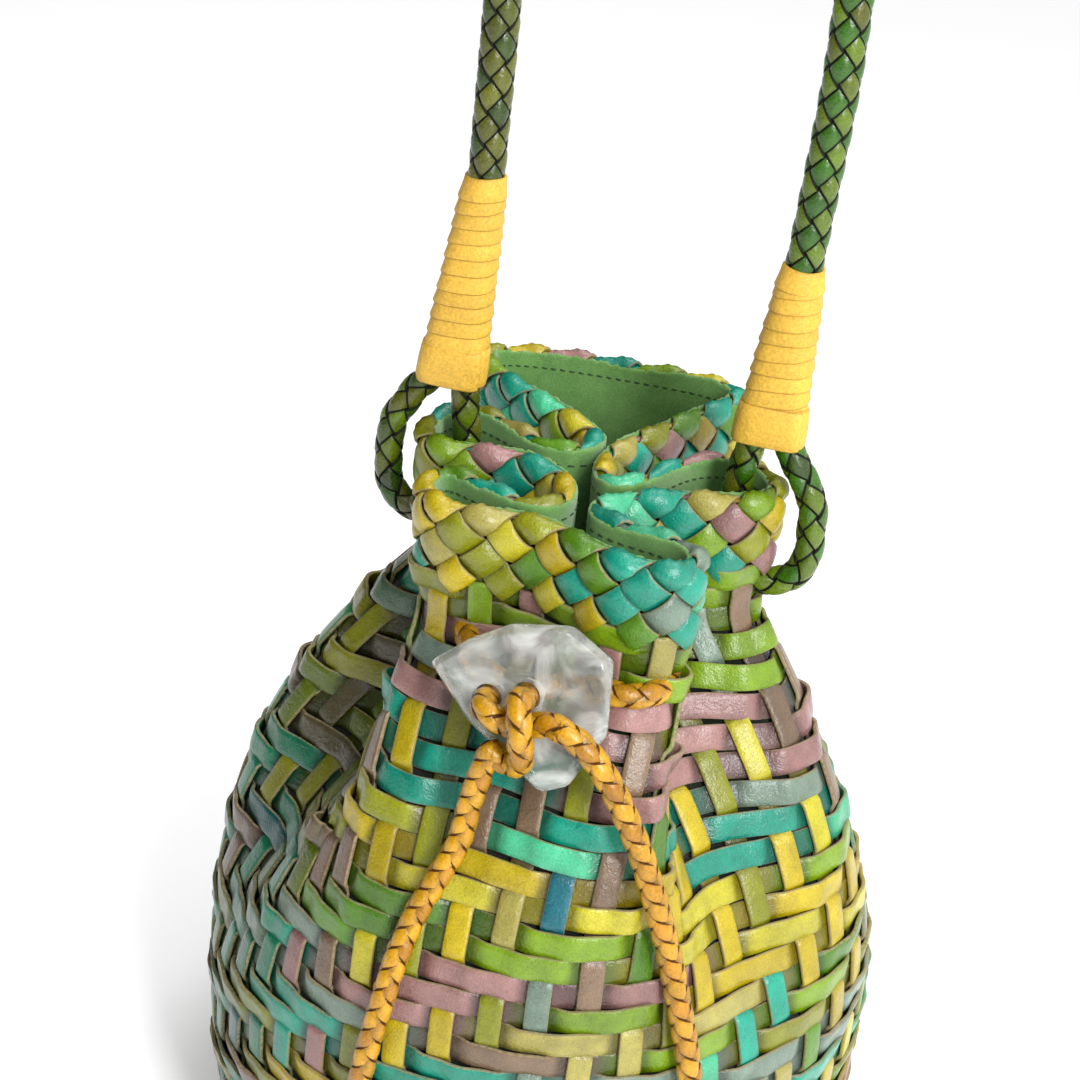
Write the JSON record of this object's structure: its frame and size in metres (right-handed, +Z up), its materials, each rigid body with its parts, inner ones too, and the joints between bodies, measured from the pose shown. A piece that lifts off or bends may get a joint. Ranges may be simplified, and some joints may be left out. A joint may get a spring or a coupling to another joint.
{
  "type": "woven leather drawstring bag",
  "caption": "Hand-woven leather bucket bag with a pleated drawstring mouth, suede lining, braided strap on lace-wrapped loops and a polished stone toggle with two knotted cord tails.",
  "frame": {"origin": "centre of the bag's flat base, on the surface that it stands on", "axes": "+Z up, -Y towards the front with the toggle, +X to the right as seen from the front"},
  "size_m": [0.2256, 0.2365, 0.5447],
  "materials": {
    "weave": "strips about 7 mm wide in teal, lime, yellow, mauve and mint, soft gloss on the floats",
    "border": "the same strips plaited on the bias and turned over the rim, glossy on the bends",
    "suede": "green suede, matte with a short nap",
    "board": "plain bonded leather board",
    "thread": "dark green polyester thread",
    "strap_braid": "round braid with dark edges to each strand, glossy",
    "loop_braid": "thinner round braid with dark edges, glossy",
    "lace": "yellow pebbled lace wound in overlapping turns",
    "cord": "golden yellow four-strand round braid, glossy",
    "quartz": "polished, cloudy, with cracks and a few ochre inclusions"
  },
  "bodies": {
    "bag": {"base_weave": "weave", "base_board": "board", "base_lining": "suede", "woven_wall": "weave", "rim_braid": "border", "wall_lining": "suede", "rim_thread": "thread", "drawstring": "cord"},
    "handle": {"strap": "strap_braid", "loop_left": "loop_braid", "loop_right": "loop_braid", "wrap_left": "lace", "wrap_right": "lace", "wrap_band_left": "lace", "wrap_band_right": "lace"},
    "toggle": {"toggle_stone": "quartz", "cord_through_left": "cord", "cord_through_right": "cord", "toggle_knot": "cord"},
    "left_tail": {"tail_left": "cord", "tail_knot_left": "cord"},
    "right_tail": {"tail_right": "cord", "tail_knot_right": "cord"}
  },
  "joints": [
    {"name": "strap_swing", "type": "hinge", "parent": "bag", "child": "handle", "pos_m": [0, 0.002, 0.229], "axis": [1, 0, 0], "range_deg": [-8, 8]},
    {"name": "toggle_draw", "type": "slide", "parent": "bag", "child": "toggle", "axis": [0, -1, 0], "range_m": [0, 0.012]},
    {"name": "tail_left_lift", "type": "hinge", "parent": "toggle", "child": "left_tail", "pos_m": [0.002, -0.0916, 0.2075], "axis": [-1, 0, 0], "range_deg": [0, 70]},
    {"name": "tail_right_lift", "type": "hinge", "parent": "toggle", "child": "right_tail", "pos_m": [0.021, -0.09, 0.2188], "axis": [-1, 0, 0], "range_deg": [0, 70]}
  ]
}
